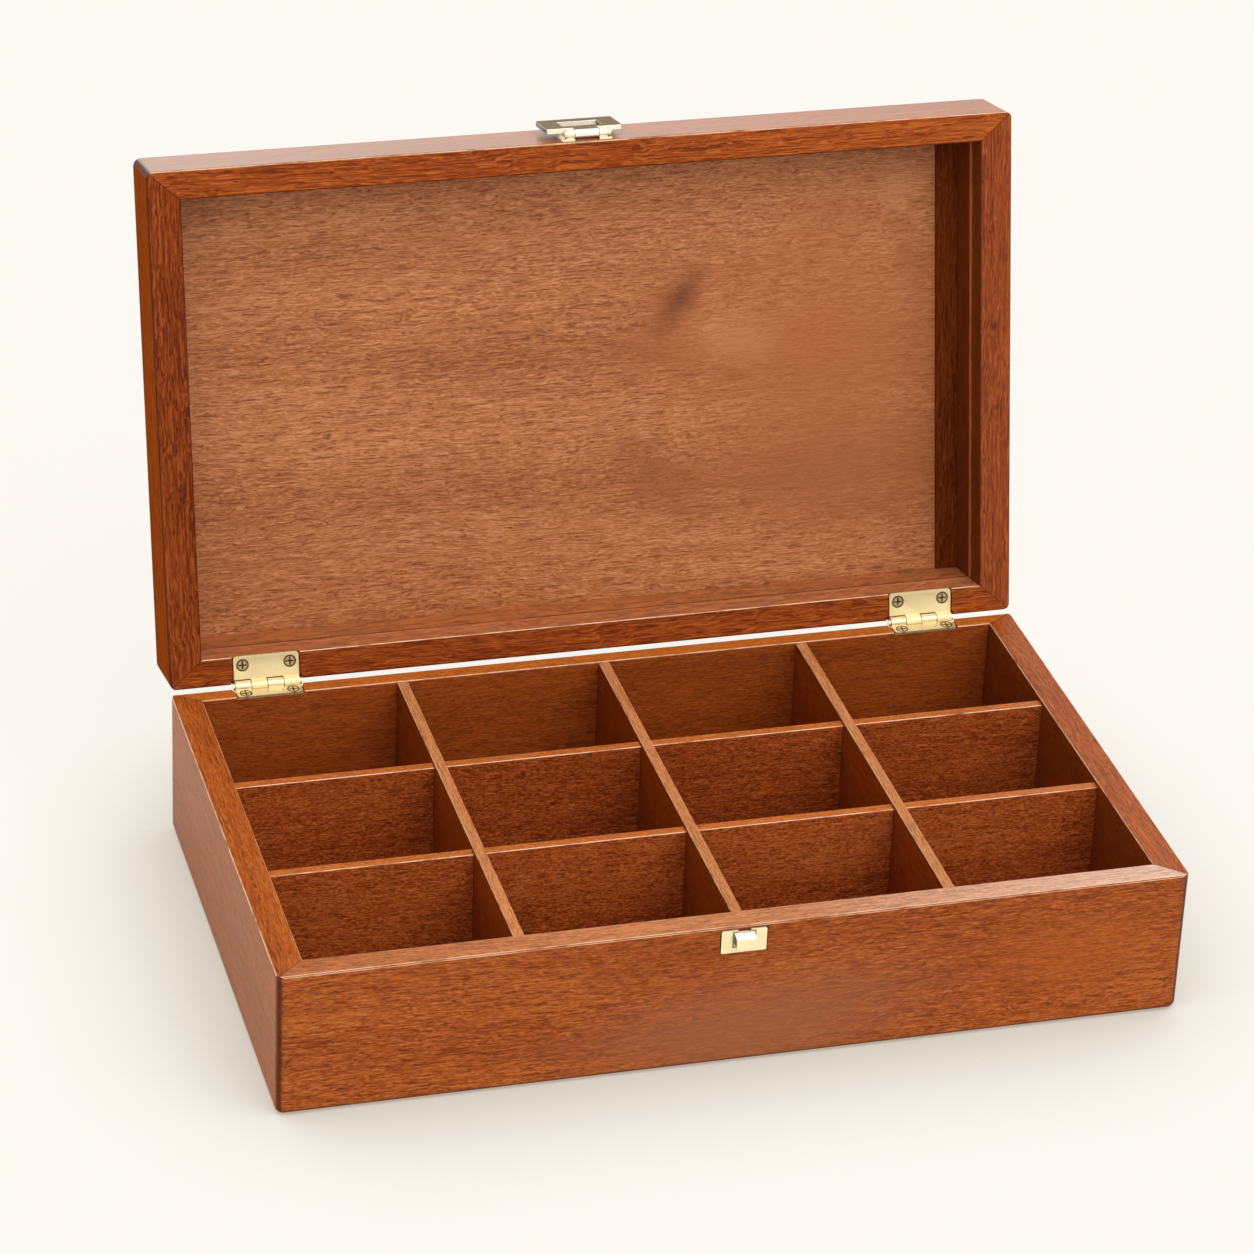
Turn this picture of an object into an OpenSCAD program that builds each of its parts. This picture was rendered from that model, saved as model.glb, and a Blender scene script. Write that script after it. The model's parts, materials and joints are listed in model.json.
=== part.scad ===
// Tea bag organizer box: a shallow wooden box with twelve compartments under a
// hinged lid, two brass butt hinges and a brass hasp that drops over a catch.
// Millimetres. X runs left to right, Y front to back, Z up. The origin is the
// middle of the underside. The box is drawn with its lid open on the stop and
// the hasp folded back on the lid.

/* [Box] */
// Outside width of the box, left to right
box_w = 320; // [260:1:420]
// Outside depth of the box, front to back
box_d = 190; // [165:1:260]
// Height of the base, from the underside to the rim
base_h = 55; // [44:0.5:80]
// Height of the lid, from its mouth to its outer top
lid_h = 29; // [24:0.5:45]
// Radius of the upright outer corners
corner_r = 3; // [1:0.25:5]
// Radius of the long outer edges at the underside and the lid's top
outer_edge_r = 2.75; // [0.5:0.25:3.5]
// Radius of the outer edges where base and lid meet
rim_edge_r = 0.9; // [0.4:0.1:1.5]
// Radius of the inner edges where base and lid meet
inner_edge_r = 0.7; // [0.3:0.1:1.2]

/* [Base] */
// Thickness of the two side walls
side_wall = 10.5; // [9:0.25:14]
// Thickness of the front wall
front_wall = 9.5; // [9:0.25:14]
// Thickness of the back wall
back_wall = 6.5; // [6.5:0.25:14]
// Thickness of the bottom panel
bottom_t = 4; // [3:0.25:6]
// Width of the rebate that holds the bottom panel
bottom_lap = 5; // [3:0.25:6]

/* [Dividers] */
// Thickness of every divider
divider_t = 4; // [3:0.25:6]
// How far the front-to-back dividers end below the rim
divider_drop = 0.5; // [0.3:0.1:3]
// How far the side-to-side dividers end below the rim
cross_drop = 1.8; // [0.3:0.1:4]
// Depth of the wall grooves that hold the divider ends
groove_depth = 2.5; // [1.5:0.25:4]
// Radius of the dividers' top edges
divider_edge_r = 0.6; // [0.2:0.1:1]

/* [Lid] */
// Width of the lid's side members at the mouth
lid_stile = 12; // [10:0.25:16]
// Width of the lid's front and back members at the mouth
lid_rail = 10.5; // [9.5:0.25:16]
// How deep the wide mouth of the lid reaches
mouth_depth = 9.5; // [5:0.5:13]
// How far the members step in behind the mouth
mouth_step = 1; // [0.5:0.1:2]
// Thickness of the lid's panel
panel_t = 3.5; // [2.5:0.25:5]
// Width of the rebate that holds the panel
panel_lap = 5; // [3:0.25:6]
// How far the panel lies below the members' outer edges
panel_drop = 0.3; // [0:0.1:2]
// Width of the batten across the panel's right end
batten_w = 8; // [5:0.5:14]
// Thickness of the batten
batten_t = 2; // [1:0.25:4]
// Gap between base and lid when closed
closed_gap = 0.6; // [0.5:0.1:1.6]
// How far the lid opens from closed to its stop, in degrees
lid_open_angle = 102.5; // [80:0.5:110]

/* [Hinges] */
// Width of each hinge
hinge_w = 24; // [20:0.5:32]
// Distance from the box's side to the hinge
hinge_inset = 23.5; // [15:0.5:40]
// Thickness of the hinge leaves
leaf_t = 1; // [0.8:0.1:1.4]
// Radius of the hinge leaves' free corners
leaf_corner_r = 1.2; // [0.4:0.1:2]
// Outer radius of the hinge knuckles
knuckle_r = 2.1; // [1.9:0.1:2.8]
// How far behind the box's back the hinge pins lie
pin_out = 0.6; // [0.5:0.1:1.6]
// Radius of the hinge pin
hinge_pin_r = 0.9; // [0.6:0.05:1.1]
// Distance from a leaf's ends to its screws
screw_inset = 3.3; // [2.8:0.1:4]
// Distance from a leaf's free edge to its screws
screw_edge = 3.3; // [2.8:0.1:4]
// Radius of the screw heads
screw_head_r = 2; // [1.6:0.1:2.2]
// Radius of the screw shanks
screw_shank_r = 1.1; // [0.7:0.1:1.4]
// Length of the screws
screw_len = 10; // [6:0.5:14]

/* [Catch] */
// Width of the catch plate on the base
catch_w = 16; // [12:0.5:24]
// Height of the catch plate
catch_h = 8.8; // [8:0.2:14]
// Thickness of the catch plate
catch_t = 1.2; // [1:0.1:2]
// Distance from the rim to the catch plate's top
catch_drop = 1.6; // [1.2:0.1:4]
// Width of the catch block
block_w = 7; // [4:0.5:9]
// Height of the catch block
block_h = 5.2; // [4:0.2:6.8]
// How far the catch block stands out from its plate
block_out = 3.2; // [2.6:0.1:4.5]
// How far the catch block's top slopes down to its front
block_slope = 1; // [0:0.1:2]

/* [Hasp] */
// Width of the hasp
hasp_w = 28; // [20:0.5:34]
// Length of the hasp, from its pin to its free end
hasp_len = 18.8; // [16:0.2:26]
// Thickness of the hasp
hasp_t = 1.8; // [1.2:0.1:2.2]
// Width of the hasp's window
window_w = 14.6; // [12:0.2:17]
// Length of the hasp's window
window_len = 8.6; // [7.6:0.2:10]
// Distance from the hasp's pin to its window
window_start = 5.2; // [4.8:0.1:5.6]
// Distance from the lid's mouth to the hasp's pin
hasp_pin_up = 3.2; // [2.6:0.1:5]
// Radius of the hasp's pin
hasp_pin_r = 0.8; // [0.5:0.05:1]
// Outer radius of the hasp's knuckles
hasp_knuckle_r = 1.8; // [1.6:0.1:2.4]
// Length of the hasp's barrel
barrel_len = 15; // [12:0.5:20]
// Width of the latch plate on the lid
latch_w = 19; // [16:0.5:26]
// Height of the latch plate on the lid
latch_h = 13.5; // [11:0.5:15]
// Thickness of the latch plate
latch_t = 0.8; // [0.6:0.1:1.2]

/* [Hidden] */
$fn = 48;
cut = 1;             // how far a cutting shape runs past the face it cuts
bury = 0.5;          // how far two shapes of one piece run into each other
columns = 4;
rows = 3;
wood_fit = 0.1;      // gap between joined wooden pieces
grip_fit = 0.02;     // radial gap round a pin or screw that sits fast
running_fit = 0.05;  // radial gap round a pin that turns
swing_gap = 0.3;     // gap between pieces that turn past each other
mortise_gap = 0.5;   // gap beside a hinge leaf in its mortise

base_inner_w = box_w - 2 * side_wall;
base_inner_d = box_d - front_wall - back_wall;
base_inner_y0 = front_wall - box_d / 2;
column_w = (base_inner_w - (columns - 1) * divider_t) / columns;
row_d = (base_inner_d - (rows - 1) * divider_t) / rows;
divider_top = base_h - divider_drop;
cross_top = base_h - cross_drop;
lap_z = (bottom_t + cross_top) / 2;

axis_y = box_d / 2 + pin_out;
axis_z = base_h + closed_gap / 2;
mouth_z = base_h + closed_gap;
hinge_x = box_w / 2 - hinge_inset - hinge_w / 2;
knuckle_pitch = hinge_w / 4;
knuckle_w = knuckle_pitch - swing_gap;
knuckle_room = knuckle_r + swing_gap;
screw_x = hinge_w / 2 - screw_inset;
pin_head_r = hinge_pin_r + 0.5;
pin_head_t = 0.6;
recess_w = 0.5;                    // width of the cross in a screw's head
recess_len = 1.5 * screw_head_r;
recess_depth = 0.45 * leaf_t;

panel_z = lid_h - panel_drop - panel_t;
lid_inner_w = box_w - 2 * (lid_stile + mouth_step);
lid_inner_d = box_d - 2 * (lid_rail + mouth_step);

catch_seat = catch_t - 0.2;        // depth of the catch plate's recess
catch_fit = 0.4;
catch_z = base_h - catch_drop - catch_h;
catch_corner_r = 0.6;
block_corner_r = 1.3;
notch_w = 4.6;
notch_h = 1;
prong_x = catch_w / 2 - 2.4;
prong_r = 0.7;
prong_len = 6;

hasp_pin_h = hasp_knuckle_r + 0.6; // height of the hasp's pin above the wood
hasp_tongue_w = 9;
hasp_start = hasp_knuckle_r + swing_gap;
hasp_corner_r = 0.8;
ball_r = 1.1;
latch_start = 1.4;                 // from the lid's mouth to the latch plate
nail_x = latch_w / 2 - 4;
nail_up = latch_start + latch_h - 3.2;
nail_head_r = 1.2;
nail_head_t = 0.5;
nail_r = 0.55;
nail_len = 8;

case_color = "#9c4a22";
divider_color = "#b5643a";
panel_color = "#b87c52";
brass_color = "#d9b35c";

// ---- placing ----

// Middle of divider i of the front-to-back dividers, and of the cross dividers
function divider_x(i) = -base_inner_w / 2 + (i + 1) * column_w + (i + 0.5) * divider_t;
function cross_y(i) = base_inner_y0 + (i + 1) * row_d + (i + 0.5) * divider_t;

// A point on a corner's mitre line: k is 0 at the outer corner, 1 at the inner
function mitre(sx, sy, tx, ty, k) = [sx * (box_w / 2 - k * tx), sy * (box_d / 2 - k * ty)];

// Turns what is drawn on the closed box to where the open lid carries it
module on_open_lid() {
    translate([0, axis_y, axis_z])
        rotate([-lid_open_angle, 0, 0])
            translate([0, -axis_y, -axis_z]) children();
}

// From a face that looks forward: X across it, Y up it, Z out of it
module on_front(z) {
    translate([0, -box_d / 2, z]) rotate([90, 0, 0]) children();
}

// Puts a board drawn with its outer face at Y = 0 on one side of the box
module at_side(side) {
    if (side == "front") translate([0, -box_d / 2, 0]) children();
    if (side == "back") translate([0, box_d / 2, 0]) rotate([0, 0, 180]) children();
    if (side == "left") translate([-box_w / 2, 0, 0]) rotate([0, 0, -90]) children();
    if (side == "right") translate([box_w / 2, 0, 0]) rotate([0, 0, 90]) children();
}

// ---- outlines ----

// What rounding takes off a square corner at the origin
module corner_cut(r) {
    difference() {
        translate([-cut, -cut]) square(r + cut);
        translate([r, r]) circle(r);
    }
}

// A rectangle about the origin with four round corners
module rounded_rect(w, h, r) {
    difference() {
        square([w, h], center = true);
        for (sx = [0, 1], sy = [0, 1])
            mirror([sx, 0]) mirror([0, sy]) translate([-w / 2, -h / 2]) corner_cut(r);
    }
}

// Cross-section of a base wall: X from the outer face inwards, Y up
module base_profile(t) {
    difference() {
        square([t, base_h]);
        corner_cut(outer_edge_r);
        translate([0, base_h]) mirror([0, 1]) corner_cut(rim_edge_r);
        translate([t, base_h]) mirror([1, 0]) mirror([0, 1]) corner_cut(inner_edge_r);
        translate([t - bottom_lap, -cut]) square([bottom_lap + cut, bottom_t + cut]);
    }
}

// Cross-section of a lid member: X from the outer face inwards, Y up from the mouth
module lid_profile(t) {
    difference() {
        square([t + mouth_step, lid_h]);
        corner_cut(rim_edge_r);
        translate([0, lid_h]) mirror([0, 1]) corner_cut(outer_edge_r);
        translate([t, 0]) mirror([1, 0]) corner_cut(inner_edge_r);
        translate([t, -cut]) square([mouth_step + cut, mouth_depth + cut]);
        translate([t + mouth_step - panel_lap, panel_z]) square([panel_lap + cut, lid_h]);
    }
}

// What the mitres leave of the plan for one side of a frame
module mitre_plan(side, front_t, back_t, side_t) {
    out = -0.5;
    in = 1.5;
    fl = [for (k = [out, in]) mitre(-1, -1, side_t, front_t, k)];
    fr = [for (k = [out, in]) mitre(1, -1, side_t, front_t, k)];
    bl = [for (k = [out, in]) mitre(-1, 1, side_t, back_t, k)];
    br = [for (k = [out, in]) mitre(1, 1, side_t, back_t, k)];
    ends = side == "front" ? [fl, fr] : side == "back" ? [br, bl] :
        side == "left" ? [bl, fl] : [fr, br];
    polygon([ends[0][0], ends[1][0], ends[1][1], ends[0][1]]);
}

// What rounding takes off the four corners where the long outer edges at Z = 0 meet
module corner_scoops() {
    reach = corner_r + cut;
    for (sx = [0, 1], sy = [0, 1]) mirror([sx, 0, 0]) mirror([0, sy, 0])
        translate([corner_r - box_w / 2, corner_r - box_d / 2, 0]) intersection() {
            rotate_extrude() intersection() {
                translate([corner_r, 0]) mirror([1, 0]) corner_cut(outer_edge_r);
                translate([0, -cut]) square([reach, outer_edge_r + cut]);
            }
            translate([-reach, -reach, -cut]) cube([reach, reach, outer_edge_r + 2 * cut]);
        }
}

// A board with the child as its cross-section, mitred at both ends
module board(side, front_t, back_t, side_t, height) {
    intersection() {
        at_side(side) rotate([90, 0, 90]) linear_extrude(box_w + box_d, center = true) children();
        translate([0, 0, -cut]) linear_extrude(height + 2 * cut)
            mitre_plan(side, front_t, back_t, side_t);
        translate([0, 0, -cut]) linear_extrude(height + 2 * cut)
            rounded_rect(box_w, box_d, corner_r);
    }
}

// ---- base ----

module base_board(side, t) {
    difference() {
        board(side, front_wall, back_wall, side_wall, base_h) base_profile(t);
        corner_scoops();
    }
}

// The room that the ends of the front-to-back dividers need in the walls
module divider_grooves() {
    w = divider_t + 2 * wood_fit;
    d = base_inner_d + 2 * groove_depth;
    for (i = [0 : columns - 2])
        translate([divider_x(i) - w / 2, base_inner_y0 - groove_depth, bottom_t - bury])
            cube([w, d, divider_top - bottom_t + bury + wood_fit]);
}

// The room that the ends of the cross dividers need in the walls
module cross_grooves() {
    w = divider_t + 2 * wood_fit;
    l = base_inner_w + 2 * groove_depth;
    for (i = [0 : rows - 2])
        translate([-l / 2, cross_y(i) - w / 2, bottom_t - bury])
            cube([l, w, cross_top - bottom_t + bury + wood_fit]);
}

module base_front() {
    color(case_color) difference() {
        base_board("front", front_wall);
        divider_grooves();
        on_front(catch_z) {
            translate([-catch_w / 2 - catch_fit, -catch_fit, -catch_seat])
                cube([catch_w + 2 * catch_fit, catch_h + 2 * catch_fit, catch_seat + cut]);
            for (s = [-1, 1]) translate([s * prong_x, catch_h / 2, -catch_seat - prong_len - wood_fit])
                cylinder(r = prong_r + grip_fit, h = prong_len + catch_seat);
        }
    }
}

module base_back() {
    color(case_color) difference() {
        base_board("back", back_wall);
        divider_grooves();
        for (s = [-1, 1]) translate([s * hinge_x, axis_y, axis_z]) leaf_seat(back_wall, inner_edge_r);
    }
}

module base_left() {
    color(case_color) difference() {
        base_board("left", side_wall);
        cross_grooves();
    }
}

module base_right() {
    color(case_color) difference() {
        base_board("right", side_wall);
        cross_grooves();
    }
}

module base_bottom() {
    w = base_inner_w + 2 * (bottom_lap - wood_fit);
    d = base_inner_d + 2 * (bottom_lap - wood_fit);
    color(divider_color)
        translate([-w / 2, base_inner_y0 - bottom_lap + wood_fit, 0]) cube([w, d, bottom_t]);
}

// ---- dividers ----

// Cross-section of a divider, with its top edges rounded
module divider_profile(top) {
    h = top - bottom_t;
    difference() {
        translate([-divider_t / 2, 0]) square([divider_t, h]);
        for (s = [0, 1]) mirror([s, 0])
            translate([-divider_t / 2, h]) mirror([0, 1]) corner_cut(divider_edge_r);
    }
}

// A front-to-back divider, slotted from below where the cross dividers pass
module front_to_back_divider(i) {
    d = base_inner_d + 2 * (groove_depth - wood_fit);
    slot_w = divider_t + 2 * wood_fit;
    color(divider_color) difference() {
        translate([divider_x(i), base_inner_y0 + base_inner_d / 2, bottom_t])
            rotate([90, 0, 0]) linear_extrude(d, center = true) divider_profile(divider_top);
        for (j = [0 : rows - 2])
            translate([divider_x(i) - divider_t, cross_y(j) - slot_w / 2, bottom_t - cut])
                cube([2 * divider_t, slot_w, lap_z - bottom_t + cut]);
    }
}

module divider_left() { front_to_back_divider(0); }
module divider_middle() { front_to_back_divider(1); }
module divider_right() { front_to_back_divider(2); }

// A side-to-side divider, slotted from above where the others pass
module cross_divider(j) {
    l = base_inner_w + 2 * (groove_depth - wood_fit);
    slot_w = divider_t + 2 * wood_fit;
    color(divider_color) difference() {
        translate([0, cross_y(j), bottom_t])
            rotate([90, 0, 90]) linear_extrude(l, center = true) divider_profile(cross_top);
        for (i = [0 : columns - 2])
            translate([divider_x(i) - slot_w / 2, cross_y(j) - divider_t, lap_z - wood_fit])
                cube([slot_w, 2 * divider_t, cross_top - lap_z + cut]);
    }
}

module cross_divider_front() { cross_divider(0); }
module cross_divider_back() { cross_divider(1); }

// ---- lid ----

module lid_board(side, t) {
    translate([0, 0, mouth_z]) difference() {
        board(side, lid_rail, lid_rail, lid_stile, lid_h) lid_profile(t);
        translate([0, 0, lid_h]) mirror([0, 0, 1]) corner_scoops();
    }
}

module lid_front() {
    color(case_color) on_open_lid() difference() {
        lid_board("front", lid_rail);
        on_front(mouth_z) for (s = [-1, 1]) translate([s * nail_x, nail_up, -nail_len])
            cylinder(r = nail_r + grip_fit, h = nail_len + cut);
    }
}

module lid_back() {
    color(case_color) on_open_lid() difference() {
        lid_board("back", lid_rail);
        for (s = [-1, 1]) translate([s * hinge_x, axis_y, axis_z])
            mirror([0, 0, 1]) leaf_seat(lid_rail, inner_edge_r);
    }
}

module lid_left() { color(case_color) on_open_lid() lid_board("left", lid_stile); }
module lid_right() { color(case_color) on_open_lid() lid_board("right", lid_stile); }

module lid_panel() {
    w = lid_inner_w + 2 * (panel_lap - wood_fit);
    d = lid_inner_d + 2 * (panel_lap - wood_fit);
    color(panel_color) on_open_lid()
        translate([-w / 2, -d / 2, mouth_z + panel_z]) cube([w, d, panel_t]);
}

// A flat strip across the right end of the lid's panel, inside the lid
module lid_batten() {
    d = lid_inner_d - 2 * wood_fit;
    x = lid_inner_w / 2 - wood_fit - batten_w;
    color(case_color) on_open_lid()
        translate([x, -d / 2, mouth_z + panel_z - batten_t]) cube([batten_w, d, batten_t]);
}

// ---- hinges ----
// A leaf is drawn about its hinge's axis, flat under the gap of the closed box.

// From the free edge of a leaf to its knuckles
function leaf_len(depth) = depth + pin_out - knuckle_room;

// Puts a child at each of a leaf's two screws, on the leaf's upper face
module at_leaf_screws(depth) {
    y = min(screw_edge, leaf_len(depth) / 2) - pin_out - depth;
    for (s = [-1, 1]) translate([s * screw_x, y, -closed_gap / 2]) children();
}

// What a leaf, the knuckles and the screws need cut out of the wood
module leaf_seat(depth, edge_r) {
    w = hinge_w + 2 * mortise_gap;
    translate([-w / 2, -pin_out - depth - cut, -closed_gap / 2 - leaf_t])
        cube([w, depth + 2 * cut, leaf_t + edge_r]);
    rotate([0, 90, 0]) cylinder(r = knuckle_room, h = w + 2 * pin_head_t, center = true);
    at_leaf_screws(depth) translate([0, 0, -screw_len - wood_fit])
        cylinder(r = screw_shank_r + grip_fit, h = screw_len);
}

// One leaf: its plate, the knuckles it owns, and the holes through them
module hinge_leaf(depth, owned, pin_fit) {
    difference() {
        union() {
            translate([0, -pin_out - depth, -closed_gap / 2 - leaf_t]) linear_extrude(leaf_t)
                difference() {
                    translate([-hinge_w / 2, 0]) square([hinge_w, leaf_len(depth)]);
                    for (s = [0, 1]) mirror([s, 0])
                        translate([-hinge_w / 2, 0]) corner_cut(leaf_corner_r);
                }
            for (i = owned) translate([(i - 1.5) * knuckle_pitch - knuckle_w / 2, 0, 0]) {
                rotate([0, 90, 0]) cylinder(r = knuckle_r, h = knuckle_w);
                translate([0, -knuckle_room - bury, -closed_gap / 2 - leaf_t])
                    cube([knuckle_w, knuckle_room + bury, leaf_t]);
            }
        }
        rotate([0, 90, 0])
            cylinder(r = hinge_pin_r + pin_fit, h = hinge_w + 2 * cut, center = true);
        at_leaf_screws(depth) screw_blank(running_fit);
    }
}

// A countersunk screw without its cross, larger all round by fit
module screw_blank(fit) {
    translate([0, 0, -leaf_t])
        cylinder(r1 = screw_shank_r + fit, r2 = screw_head_r + fit, h = leaf_t);
    translate([0, 0, -screw_len]) cylinder(r = screw_shank_r + fit, h = screw_len - leaf_t + fit);
    if (fit > 0) cylinder(r = screw_head_r + fit, h = cut);
}

// A countersunk screw with a cross in its head
module screw() {
    difference() {
        screw_blank(0);
        for (a = [0, 90]) rotate([0, 0, a]) translate([-recess_len / 2, -recess_w / 2, -recess_depth])
            cube([recess_len, recess_w, recess_depth + cut]);
    }
}

module hinge_pin() {
    rotate([0, 90, 0]) {
        cylinder(r = hinge_pin_r, h = hinge_w, center = true);
        for (s = [-1, 1]) translate([0, 0, s * (hinge_w + pin_head_t) / 2])
            cylinder(r = pin_head_r, h = pin_head_t, center = true);
    }
}

module base_leaf(s) {
    color(brass_color) translate([s * hinge_x, axis_y, axis_z])
        hinge_leaf(back_wall, [0, 2], grip_fit);
}

module lid_leaf(s) {
    color(brass_color) on_open_lid() translate([s * hinge_x, axis_y, axis_z])
        mirror([0, 0, 1]) hinge_leaf(lid_rail, [1, 3], running_fit);
}

module pin_of_hinge(s) {
    color(brass_color) translate([s * hinge_x, axis_y, axis_z]) hinge_pin();
}

module hinge_left_base_leaf() { base_leaf(-1); }
module hinge_left_lid_leaf() { lid_leaf(-1); }
module hinge_left_pin() { pin_of_hinge(-1); }
module hinge_right_base_leaf() { base_leaf(1); }
module hinge_right_lid_leaf() { lid_leaf(1); }
module hinge_right_pin() { pin_of_hinge(1); }

module base_hinge_screws() {
    color(brass_color) for (s = [-1, 1])
        translate([s * hinge_x, axis_y, axis_z]) at_leaf_screws(back_wall) screw();
}

module lid_hinge_screws() {
    color(brass_color) on_open_lid() for (s = [-1, 1])
        translate([s * hinge_x, axis_y, axis_z])
            mirror([0, 0, 1]) at_leaf_screws(lid_rail) screw();
}

// ---- catch and hasp ----

// Side view of the catch block: X out from the plate, Y up
module block_side() {
    polygon([
        [-bury, 0], [0, 0], [block_out, -block_slope],
        [block_out, -block_h], [-bury, -block_h]
    ]);
}

// Front view of the catch block, with round lower corners
module block_front() {
    difference() {
        translate([-block_w / 2, -block_h]) square([block_w, block_h]);
        for (s = [0, 1]) mirror([s, 0])
            translate([-block_w / 2, -block_h]) corner_cut(block_corner_r);
    }
}

module catch_plate() {
    color(brass_color) on_front(catch_z) translate([0, 0, catch_t - catch_seat]) {
        difference() {
            translate([0, catch_h / 2, -catch_t]) linear_extrude(catch_t)
                rounded_rect(catch_w, catch_h, catch_corner_r);
            translate([-notch_w / 2, catch_h - notch_h, -catch_t - cut])
                cube([notch_w, notch_h + cut, catch_t + 2 * cut]);
        }
        translate([0, catch_h - notch_h, 0]) intersection() {
            rotate([0, -90, 0]) linear_extrude(block_w, center = true) block_side();
            translate([0, 0, -bury]) linear_extrude(block_out + 2 * bury) block_front();
        }
        for (s = [-1, 1]) translate([s * prong_x, catch_h / 2, -catch_t - prong_len])
            cylinder(r = prong_r, h = prong_len + bury);
    }
}

// Puts children on the closed lid's front face and turns them with the lid
module on_lid_front() {
    on_open_lid() on_front(mouth_z) children();
}

module latch_plate() {
    end_w = (barrel_len - hasp_tongue_w) / 2 - running_fit;
    notch_half = hasp_tongue_w / 2 + running_fit;
    notch_top = hasp_pin_up + hasp_knuckle_r + swing_gap;
    color(brass_color) on_lid_front() difference() {
        union() {
            translate([0, latch_start + latch_h / 2, 0]) linear_extrude(latch_t)
                rounded_rect(latch_w, latch_h, hasp_corner_r);
            for (s = [-1, 1]) translate([s * (barrel_len - end_w) / 2, hasp_pin_up, 0]) {
                translate([0, 0, hasp_pin_h]) rotate([0, 90, 0])
                    cylinder(r = hasp_knuckle_r, h = end_w, center = true);
                translate([-end_w / 2, 0, 0]) cube([end_w, hasp_knuckle_r, hasp_pin_h]);
            }
        }
        translate([0, hasp_pin_up, hasp_pin_h]) rotate([0, 90, 0])
            cylinder(r = hasp_pin_r + grip_fit, h = barrel_len + 2 * cut, center = true);
        for (s = [-1, 1]) translate([s * nail_x, nail_up, -cut])
            cylinder(r = nail_r + grip_fit, h = latch_t + 2 * cut);
        translate([-notch_half, latch_start - cut, -cut])
            cube([2 * notch_half, notch_top - latch_start + cut, latch_t + 2 * cut]);
    }
}

module latch_nails() {
    color(brass_color) on_lid_front() for (s = [-1, 1]) translate([s * nail_x, nail_up, 0]) {
        translate([0, 0, wood_fit - nail_len]) cylinder(r = nail_r, h = nail_len + latch_t);
        translate([0, 0, latch_t]) cylinder(r = nail_head_r, h = nail_head_t);
    }
}

module latch_pin() {
    color(brass_color) on_lid_front() translate([0, hasp_pin_up, hasp_pin_h]) {
        rotate([0, 90, 0]) cylinder(r = hasp_pin_r, h = barrel_len + 2 * pin_head_t, center = true);
        translate([barrel_len / 2 + ball_r - grip_fit, 0, 0]) sphere(ball_r);
        translate([-barrel_len / 2 - pin_head_t, 0, 0]) rotate([0, 90, 0])
            cylinder(r = ball_r, h = pin_head_t);
    }
}

module hasp() {
    body_len = hasp_len - hasp_start;
    tongue_w = hasp_tongue_w - 2 * running_fit;
    color(brass_color) on_lid_front() translate([0, hasp_pin_up, hasp_pin_h]) difference() {
        union() {
            linear_extrude(hasp_t) difference() {
                translate([0, hasp_start + body_len / 2])
                    rounded_rect(hasp_w, body_len, hasp_corner_r);
                translate([-window_w / 2, window_start]) square([window_w, window_len]);
            }
            translate([-tongue_w / 2, 0, 0]) cube([tongue_w, hasp_start + bury, hasp_t]);
            rotate([0, 90, 0]) cylinder(r = hasp_knuckle_r, h = tongue_w, center = true);
        }
        rotate([0, 90, 0])
            cylinder(r = hasp_pin_r + running_fit, h = barrel_len, center = true);
    }
}

base_front();
base_back();
base_left();
base_right();
base_bottom();
divider_left();
divider_middle();
divider_right();
cross_divider_front();
cross_divider_back();
lid_front();
lid_back();
lid_left();
lid_right();
lid_panel();
lid_batten();
hinge_left_base_leaf();
hinge_left_lid_leaf();
hinge_left_pin();
hinge_right_base_leaf();
hinge_right_lid_leaf();
hinge_right_pin();
base_hinge_screws();
lid_hinge_screws();
catch_plate();
latch_plate();
latch_nails();
latch_pin();
hasp();
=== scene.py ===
import bmesh
import bpy
import json
import math
from mathutils import Matrix, Vector

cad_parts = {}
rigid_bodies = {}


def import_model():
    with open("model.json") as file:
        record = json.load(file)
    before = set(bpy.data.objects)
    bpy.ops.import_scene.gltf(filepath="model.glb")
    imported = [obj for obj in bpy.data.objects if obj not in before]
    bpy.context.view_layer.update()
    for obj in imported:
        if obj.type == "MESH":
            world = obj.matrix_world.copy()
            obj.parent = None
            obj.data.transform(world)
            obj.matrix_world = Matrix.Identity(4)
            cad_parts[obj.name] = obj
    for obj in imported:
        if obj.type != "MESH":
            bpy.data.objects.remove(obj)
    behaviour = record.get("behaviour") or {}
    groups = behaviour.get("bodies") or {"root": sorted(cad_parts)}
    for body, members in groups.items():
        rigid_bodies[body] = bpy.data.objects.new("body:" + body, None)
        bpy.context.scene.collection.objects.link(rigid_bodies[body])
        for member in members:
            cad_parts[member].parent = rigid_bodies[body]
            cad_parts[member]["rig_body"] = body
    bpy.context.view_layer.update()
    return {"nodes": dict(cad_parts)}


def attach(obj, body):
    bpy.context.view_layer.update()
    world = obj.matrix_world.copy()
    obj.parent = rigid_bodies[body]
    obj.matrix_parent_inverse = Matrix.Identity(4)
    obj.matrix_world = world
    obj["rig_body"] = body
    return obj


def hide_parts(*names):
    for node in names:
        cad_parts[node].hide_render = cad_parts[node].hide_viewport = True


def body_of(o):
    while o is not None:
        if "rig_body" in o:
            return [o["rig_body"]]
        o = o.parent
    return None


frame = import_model()
nodes = frame["nodes"]

# Sizes of the closed box, in metres
BOX_W, BOX_D = 0.320, 0.190
# widths of the base's side, front and back walls, and of the lid's members
SIDE, FRONT, BACK = 0.0105, 0.0095, 0.0065
STILE, RAIL = 0.012, 0.0105
# the step between the lid's inner wall and its wider mouth
LEDGE_Z = 0.0651
LEDGE_LINE = (LEDGE_Z - 0.001, LEDGE_Z + 0.001)
# the lid's hinge axis, and how far the lid is open
AXIS_Y, AXIS_Z = 0.0956, 0.0553
OPEN = math.radians(102.5)
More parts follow.
